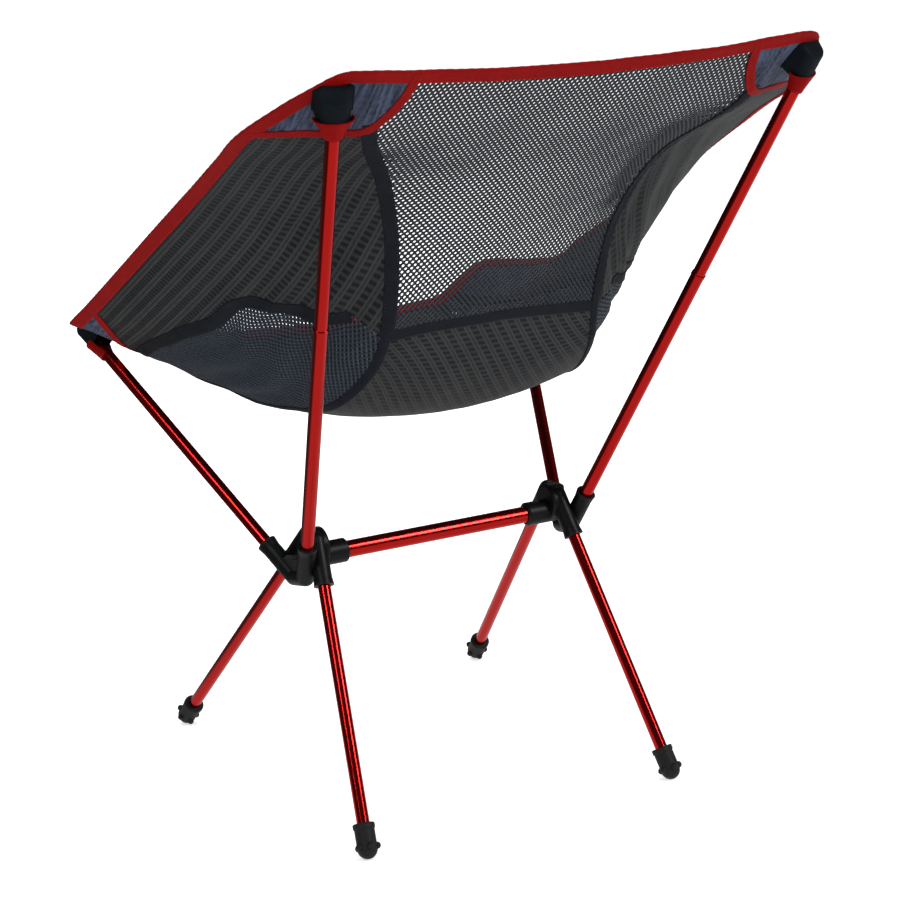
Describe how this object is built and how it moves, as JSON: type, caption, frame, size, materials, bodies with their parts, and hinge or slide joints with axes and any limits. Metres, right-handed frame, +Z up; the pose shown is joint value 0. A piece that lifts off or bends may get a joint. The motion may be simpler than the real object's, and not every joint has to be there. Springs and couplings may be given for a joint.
{
  "type": "ultralight backpacking chair",
  "caption": "Compact folding camp chair: a fabric bucket sling held at its corners by poles that plug into hubs with splayed legs and a crossbar.",
  "frame": {"origin": "on the ground under the middle of the chair", "axes": "the chair faces -Y, +X is the sitter's left and the chair mirrors in the YZ plane, +Z is up"},
  "size_m": [0.5022, 0.5557, 0.6566],
  "materials": {
    "red_pole": "glossy red anodised aluminium tube",
    "bare_ferrule": "plain drawn aluminium",
    "hub_nylon": "black moulded glass-filled nylon with a soft sheen",
    "foot_rubber": "black moulded rubber",
    "tip_plastic": "black moulded plastic",
    "shock_cord": "braided elastic cord",
    "back_mesh": "open polyester mesh, blue grey",
    "side_mesh": "closer polyester mesh, navy grey",
    "ripstop": "charcoal ripstop with a fine grid of lighter threads",
    "corner_cloth": "woven navy blue reinforcing cloth",
    "red_binding": "red woven binding tape",
    "seam_tape": "charcoal woven seam tape with stitching",
    "pocket_webbing": "black webbing",
    "red_tab": "red woven tab"
  },
  "bodies": {
    "root": {"crossbar": "red_pole", "hub_left": "hub_nylon", "shock_cord_leg_front_left": "shock_cord", "shock_cord_leg_rear_left": "shock_cord", "shock_cord_pole_front_left": "shock_cord", "shock_cord_pole_back_left": "shock_cord", "side_panel_left": "ripstop", "side_mesh_left": "side_mesh", "side_binding_left": "red_binding", "rear_seam_tape_left": "seam_tape", "side_mesh_tape_left": "seam_tape", "hub_right": "hub_nylon", "shock_cord_leg_front_right": "shock_cord", "shock_cord_leg_rear_right": "shock_cord", "shock_cord_pole_front_right": "shock_cord", "shock_cord_pole_back_right": "shock_cord", "side_panel_right": "ripstop", "side_mesh_right": "side_mesh", "side_binding_right": "red_binding", "rear_seam_tape_right": "seam_tape", "side_mesh_tape_right": "seam_tape", "back_mesh_panel": "back_mesh", "seat_panel": "ripstop", "top_binding": "red_binding", "front_binding": "red_binding", "seat_seam_tape": "seam_tape"},
    "leg_front_left": {"leg_tube_front_left": "red_pole", "foot_cup_front_left": "foot_rubber"},
    "leg_rear_left": {"leg_tube_rear_left": "red_pole", "foot_cup_rear_left": "foot_rubber"},
    "seat_pole_front_left": {"front_pole_left": "red_pole", "tip_plug_front_left": "tip_plastic", "tip_pocket_front_left": "pocket_webbing", "pocket_tab_front_left": "red_tab", "corner_patch_front_left": "corner_cloth"},
    "seat_pole_back_left": {"back_pole_lower_left": "red_pole", "back_pole_ferrule_left": "bare_ferrule"},
    "seat_pole_top_left": {"back_pole_upper_left": "red_pole", "tip_plug_back_left": "tip_plastic", "tip_pocket_back_left": "pocket_webbing", "pocket_tab_back_left": "red_tab", "corner_patch_back_left": "corner_cloth"},
    "leg_front_right": {"leg_tube_front_right": "red_pole", "foot_cup_front_right": "foot_rubber"},
    "leg_rear_right": {"leg_tube_rear_right": "red_pole", "foot_cup_rear_right": "foot_rubber"},
    "seat_pole_front_right": {"front_pole_right": "red_pole", "tip_plug_front_right": "tip_plastic", "tip_pocket_front_right": "pocket_webbing", "pocket_tab_front_right": "red_tab", "corner_patch_front_right": "corner_cloth"},
    "seat_pole_back_right": {"back_pole_lower_right": "red_pole", "back_pole_ferrule_right": "bare_ferrule"},
    "seat_pole_top_right": {"back_pole_upper_right": "red_pole", "tip_plug_back_right": "tip_plastic", "tip_pocket_back_right": "pocket_webbing", "pocket_tab_back_right": "red_tab", "corner_patch_back_right": "corner_cloth"}
  },
  "joints": [
    {"name": "leg_front_left_pull", "type": "slide", "parent": "root", "child": "leg_front_left", "axis": [0.1217, -0.6817, -0.7215], "range_m": [0, 0.04], "stiffness_N_per_m": 150, "springref_m": -0.1, "deforming": ["shock_cord_leg_front_left"]},
    {"name": "leg_rear_left_pull", "type": "slide", "parent": "root", "child": "leg_rear_left", "axis": [0.1132, 0.5036, -0.8565], "range_m": [0, 0.04], "stiffness_N_per_m": 150, "springref_m": -0.1, "deforming": ["shock_cord_leg_rear_left"]},
    {"name": "seat_pole_front_left_pull", "type": "slide", "parent": "root", "child": "seat_pole_front_left", "axis": [0.2872, -0.7406, 0.6075], "range_m": [0, 0.04], "stiffness_N_per_m": 150, "springref_m": -0.1, "deforming": ["shock_cord_pole_front_left"]},
    {"name": "seat_pole_back_left_pull", "type": "slide", "parent": "root", "child": "seat_pole_back_left", "axis": [0.1453, 0.5037, 0.8516], "range_m": [0, 0.04], "stiffness_N_per_m": 150, "springref_m": -0.1, "deforming": ["shock_cord_pole_back_left"]},
    {"name": "seat_pole_top_left_pull", "type": "slide", "parent": "seat_pole_back_left", "child": "seat_pole_top_left", "axis": [0.1453, 0.5037, 0.8516], "range_m": [0, 0.04], "stiffness_N_per_m": 150, "springref_m": -0.1, "deforming": ["shock_cord_pole_back_left"]},
    {"name": "leg_front_right_pull", "type": "slide", "parent": "root", "child": "leg_front_right", "axis": [-0.1217, -0.6817, -0.7215], "range_m": [0, 0.04], "stiffness_N_per_m": 150, "springref_m": -0.1, "deforming": ["shock_cord_leg_front_right"]},
    {"name": "leg_rear_right_pull", "type": "slide", "parent": "root", "child": "leg_rear_right", "axis": [-0.1132, 0.5036, -0.8565], "range_m": [0, 0.04], "stiffness_N_per_m": 150, "springref_m": -0.1, "deforming": ["shock_cord_leg_rear_right"]},
    {"name": "seat_pole_front_right_pull", "type": "slide", "parent": "root", "child": "seat_pole_front_right", "axis": [-0.2872, -0.7406, 0.6075], "range_m": [0, 0.04], "stiffness_N_per_m": 150, "springref_m": -0.1, "deforming": ["shock_cord_pole_front_right"]},
    {"name": "seat_pole_back_right_pull", "type": "slide", "parent": "root", "child": "seat_pole_back_right", "axis": [-0.1453, 0.5037, 0.8516], "range_m": [0, 0.04], "stiffness_N_per_m": 150, "springref_m": -0.1, "deforming": ["shock_cord_pole_back_right"]},
    {"name": "seat_pole_top_right_pull", "type": "slide", "parent": "seat_pole_back_right", "child": "seat_pole_top_right", "axis": [-0.1453, 0.5037, 0.8516], "range_m": [0, 0.04], "stiffness_N_per_m": 150, "springref_m": -0.1, "deforming": ["shock_cord_pole_back_right"]}
  ]
}
